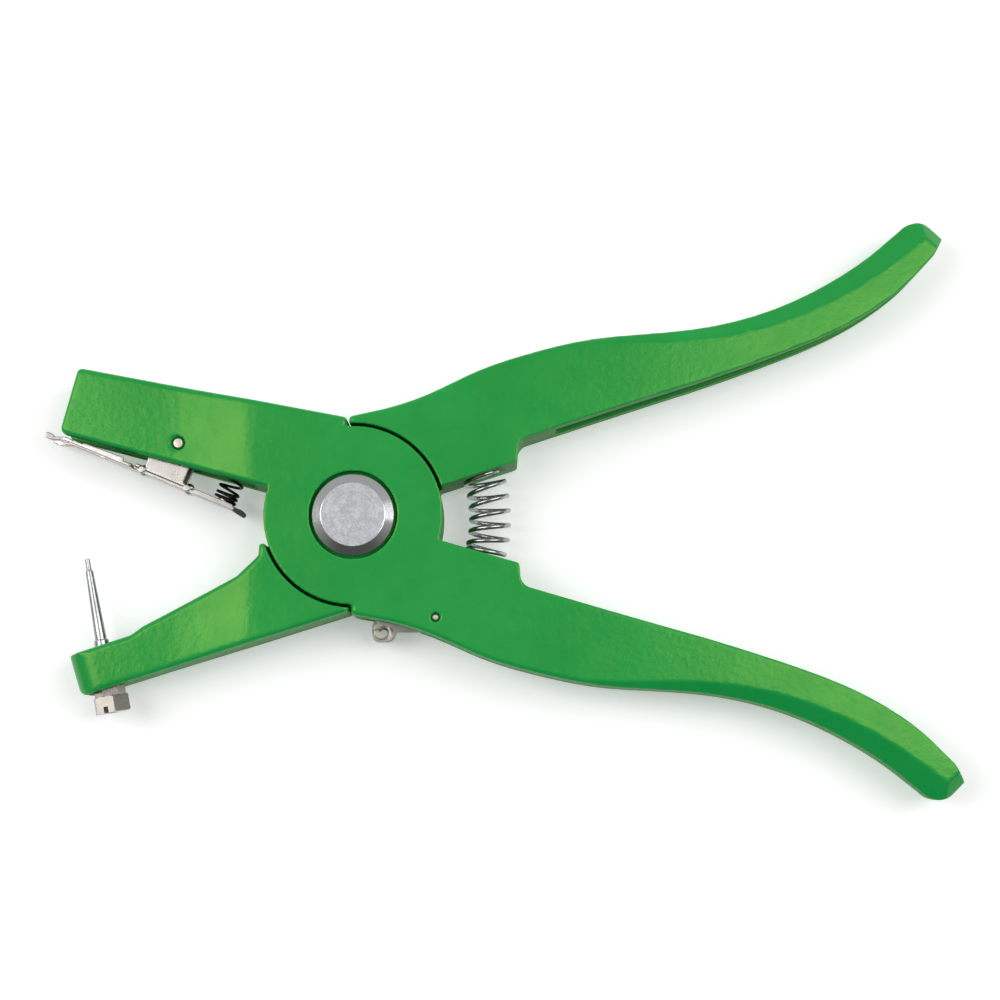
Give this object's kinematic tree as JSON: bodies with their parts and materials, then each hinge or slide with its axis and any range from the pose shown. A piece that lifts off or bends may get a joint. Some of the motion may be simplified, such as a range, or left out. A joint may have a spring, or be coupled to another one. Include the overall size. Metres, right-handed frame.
{
  "type": "ear tag applicator pliers",
  "caption": "Livestock ear-tag pliers: two crossed die-cast arms on a button pivot, sprung tag clip and screwed-in needle at the jaws, coil return spring and thumb latch at the handles.",
  "frame": {"origin": "on the pivot axis, in the plane of the hub's underside that the tool lies on", "axes": "+Z along the pivot towards the button head, +X between the handles towards their ends, jaws towards -X"},
  "size_m": [0.245, 0.157, 0.021],
  "materials": {
    "green_paint": "glossy green enamel over die-cast aluminium",
    "turned_steel": "turned, matt face and bright chamfer",
    "zinc_steel": "bright zinc",
    "black_steel": "oiled black oxide",
    "spring_steel": "bright drawn wire",
    "stamped_steel": "stamped stainless sheet",
    "needle_steel": "ground stainless",
    "nickel_plate": "warm bright nickel plate"
  },
  "bodies": {
    "tag_jaw_side": {"tag_jaw_frame": "green_paint", "pivot_pin": "turned_steel", "pivot_washer": "zinc_steel", "pivot_circlip": "black_steel", "return_spring": "spring_steel", "spring_stud_lower": "zinc_steel", "clip_pin": "turned_steel", "clip_spring": "black_steel", "latch_pin": "turned_steel"},
    "needle_jaw_side": {"needle_jaw_frame": "green_paint", "spring_stud_upper": "zinc_steel", "applicator_needle": "needle_steel", "needle_bush": "needle_steel", "needle_locknut": "nickel_plate", "needle_gland": "nickel_plate"},
    "tag_clip": {"clip_fork": "stamped_steel", "clip_bracket": "stamped_steel", "clip_rivets": "zinc_steel", "clip_spring_rivet": "zinc_steel"},
    "latch": {"latch_lever": "nickel_plate"}
  },
  "joints": [
    {"name": "handles_close", "type": "hinge", "parent": "tag_jaw_side", "child": "needle_jaw_side", "pos_m": [0, 0, 0.01], "axis": [0, 0, -1], "range_deg": [0, 21], "stiffness_Nm_per_rad": 6.7, "springref_deg": -5.73, "deforming": ["return_spring"]},
    {"name": "clip_open", "type": "hinge", "parent": "tag_jaw_side", "child": "tag_clip", "pos_m": [-0.047, 0.0204, 0.01], "axis": [0, 0, 1], "range_deg": [0, 12], "stiffness_Nm_per_rad": 2.1, "springref_deg": -4.58, "deforming": ["clip_spring"]},
    {"name": "latch_swing", "type": "hinge", "parent": "tag_jaw_side", "child": "latch", "pos_m": [0.0217, -0.0278, 0.007], "axis": [0, 0, 1], "range_deg": [0, 14]}
  ]
}
